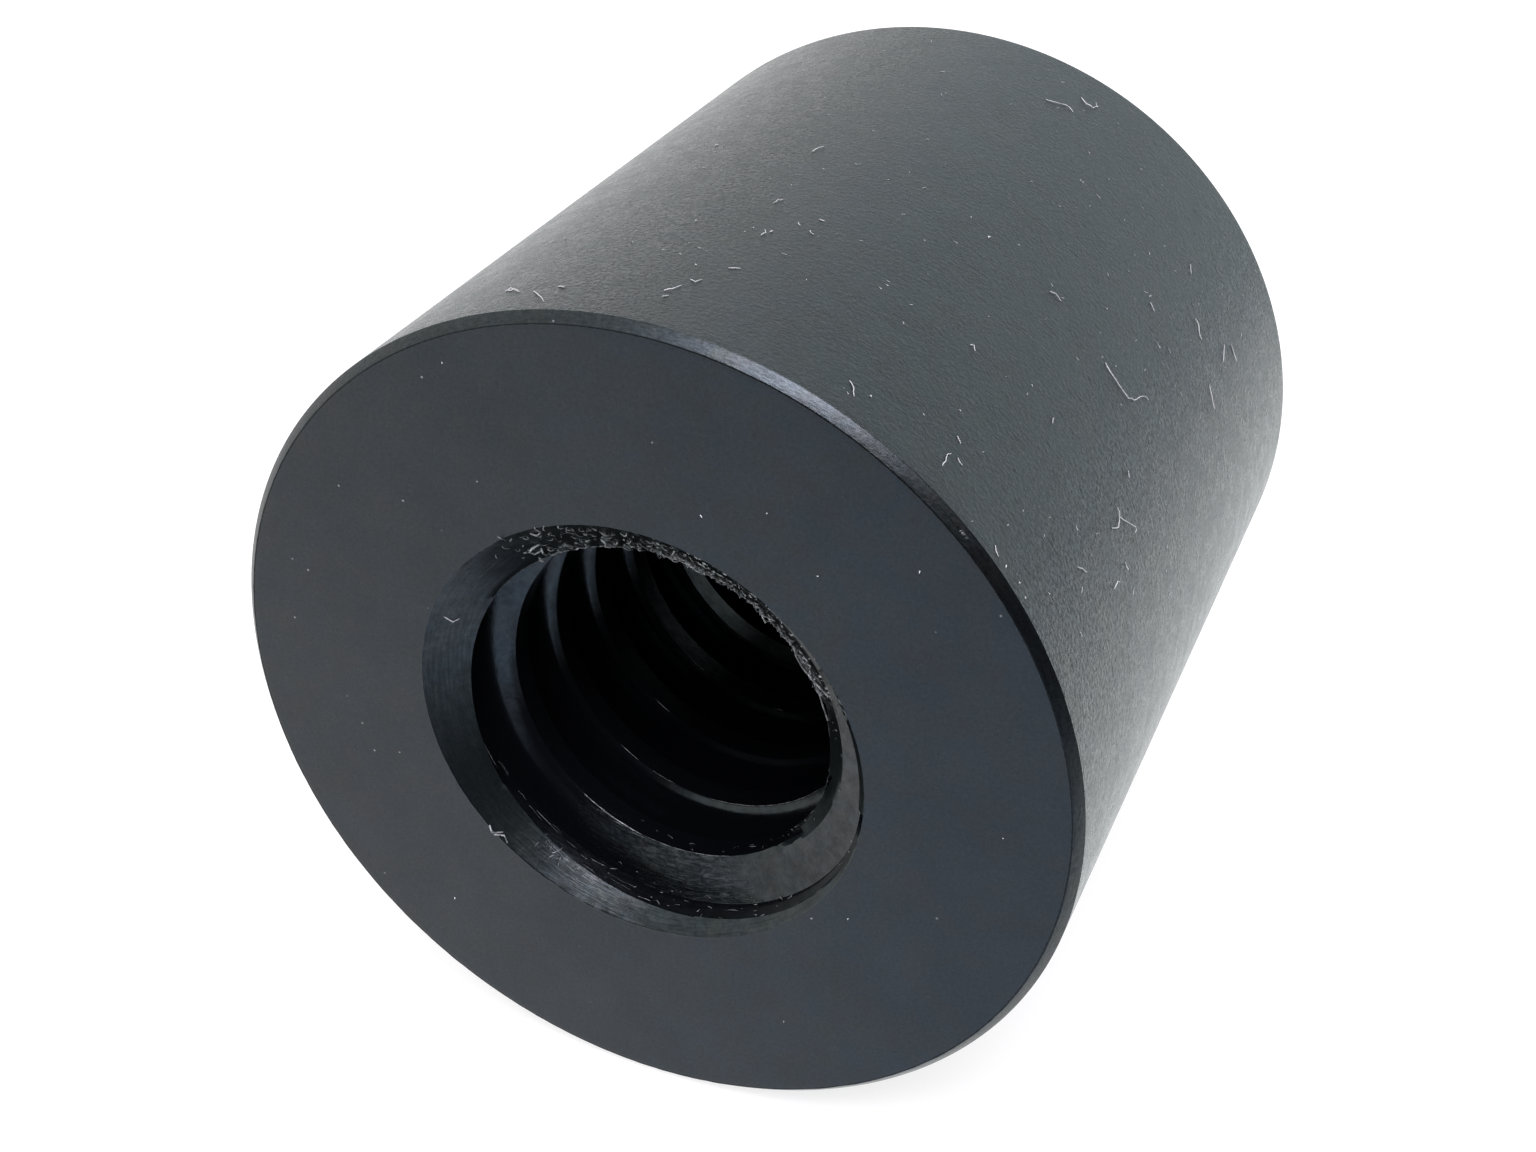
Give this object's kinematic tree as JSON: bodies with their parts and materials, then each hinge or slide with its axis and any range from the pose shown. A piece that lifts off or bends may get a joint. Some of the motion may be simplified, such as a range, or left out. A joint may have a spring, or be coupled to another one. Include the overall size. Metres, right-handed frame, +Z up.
{
  "type": "trapezoidal lead screw nut",
  "caption": "Plain round plastic lead screw nut with a right-hand trapezoidal thread, countersunk bore mouths and lightly chamfered outer edges.",
  "frame": {"origin": "on the screw axis, halfway between the two end faces", "axes": "+Y along the screw axis, from the front end face to the back one, the way a right-hand screw travels as it is driven in; +Z up, with the nut lying on its side as it sits on a horizontal screw"},
  "size_m": [0.06, 0.06, 0.06],
  "materials": {
    "black_plastic": "machined satin"
  },
  "bodies": {
    "root": {"lead_screw_nut": "black_plastic"}
  },
  "joints": []
}
